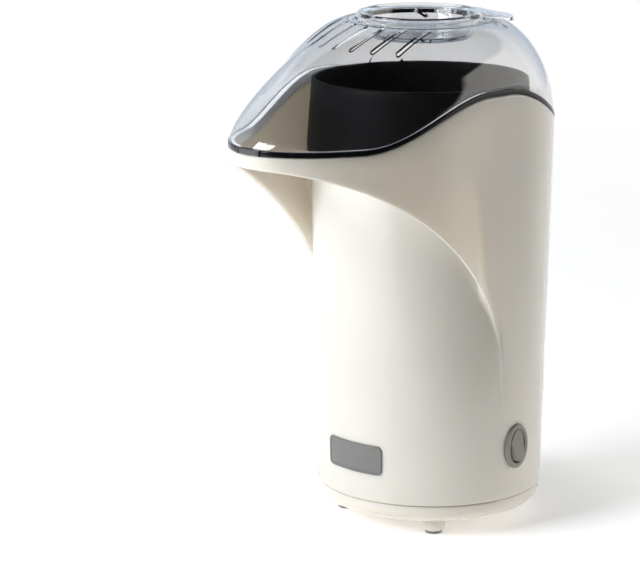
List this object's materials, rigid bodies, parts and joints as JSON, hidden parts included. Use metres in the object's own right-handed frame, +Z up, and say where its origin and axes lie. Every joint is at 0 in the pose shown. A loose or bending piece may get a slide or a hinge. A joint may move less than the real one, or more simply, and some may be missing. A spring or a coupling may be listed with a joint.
{
  "type": "popcorn maker",
  "caption": "Tall round hot-air popcorn maker with a forward spout, a clear domed cover, a measuring cup in its top and a rocker switch low on its side.",
  "frame": {"origin": "on the surface that the machine stands on, on the axis of its round body", "axes": "+Z up, -Y forward along the spout, +X towards the side with the switch"},
  "size_m": [0.139, 0.2174, 0.292],
  "materials": {
    "body_plastic": "warm off-white moulded plastic, soft gloss",
    "clear_plastic": "clear moulded plastic, polished",
    "black_plastic": "black moulded plastic, gloss",
    "switch_plastic": "taupe grey plastic, satin",
    "rocker_plastic": "taupe grey plastic, satin",
    "badge_print": "dark grey plate, satin",
    "foot_rubber": "grey rubber, matt",
    "screw_steel": "zinc plated",
    "brass_tab": "plain",
    "cord_rubber": "black rubber, matt",
    "duct_plastic": "dark heat-resistant plastic, matt",
    "fan_plastic": "pale nylon, satin",
    "motor_steel": "zinc plated, satin",
    "shaft_steel": "ground steel",
    "armature_core": "laminated steel with copper winding",
    "magnet_ferrite": "sintered ferrite, matt",
    "end_cap_plastic": "pale nylon, matt",
    "bush_bronze": "sintered bronze",
    "mica_sheet": "mica sheet, flaky satin",
    "coil_wire": "nickel-chrome wire, oxidised",
    "thermostat_metal": "stamped aluminium",
    "fuse_ceramic": "pale ceramic",
    "board_green": "green board, satin",
    "diode_black": "black epoxy",
    "chamber_aluminium": "drawn aluminium, satin",
    "gasket_fibre": "heat-resistant fibre"
  },
  "bodies": {
    "machine": {"base_tray": "body_plastic", "rubber_feet": "foot_rubber", "base_screws": "screw_steel", "body_shell": "body_plastic", "front_badge": "badge_print", "switch_housing": "switch_plastic", "switch_terminals": "brass_tab", "cord_inlet": "cord_rubber", "fan_duct": "duct_plastic", "duct_screws": "screw_steel", "motor_magnets": "magnet_ferrite", "motor_can": "motor_steel", "motor_end_cap": "end_cap_plastic", "motor_bushes": "bush_bronze", "motor_screws": "screw_steel", "heater_former": "mica_sheet", "heater_coil": "coil_wire", "thermostat": "thermostat_metal", "thermal_fuse": "fuse_ceramic", "rectifier_board": "board_green", "rectifier_diodes": "diode_black", "board_screws": "screw_steel", "popping_chamber": "chamber_aluminium", "chamber_gasket": "gasket_fibre", "chamber_collar": "black_plastic", "collar_screws": "screw_steel"},
    "cover": {"clear_cover": "clear_plastic"},
    "cup": {"measuring_cup": "clear_plastic"},
    "rocker": {"switch_rocker": "rocker_plastic"},
    "fan": {"fan_impeller": "fan_plastic", "motor_shaft": "shaft_steel", "motor_armature": "armature_core"}
  },
  "joints": [
    {"name": "cover_lift", "type": "slide", "parent": "machine", "child": "cover", "axis": [0, 0, 1], "range_m": [0, 0.12]},
    {"name": "cup_lift", "type": "slide", "parent": "cover", "child": "cup", "axis": [0, 0, 1], "range_m": [0, 0.06]},
    {"name": "switch_rock", "type": "hinge", "parent": "machine", "child": "rocker", "pos_m": [0.061, 0, 0.05], "axis": [0, 1, 0], "range_deg": [0, 16]},
    {"name": "fan_spin", "type": "hinge", "parent": "machine", "child": "fan", "pos_m": [0, -0.0108, 0.052], "axis": [0, 0, 1], "continuous": true}
  ]
}
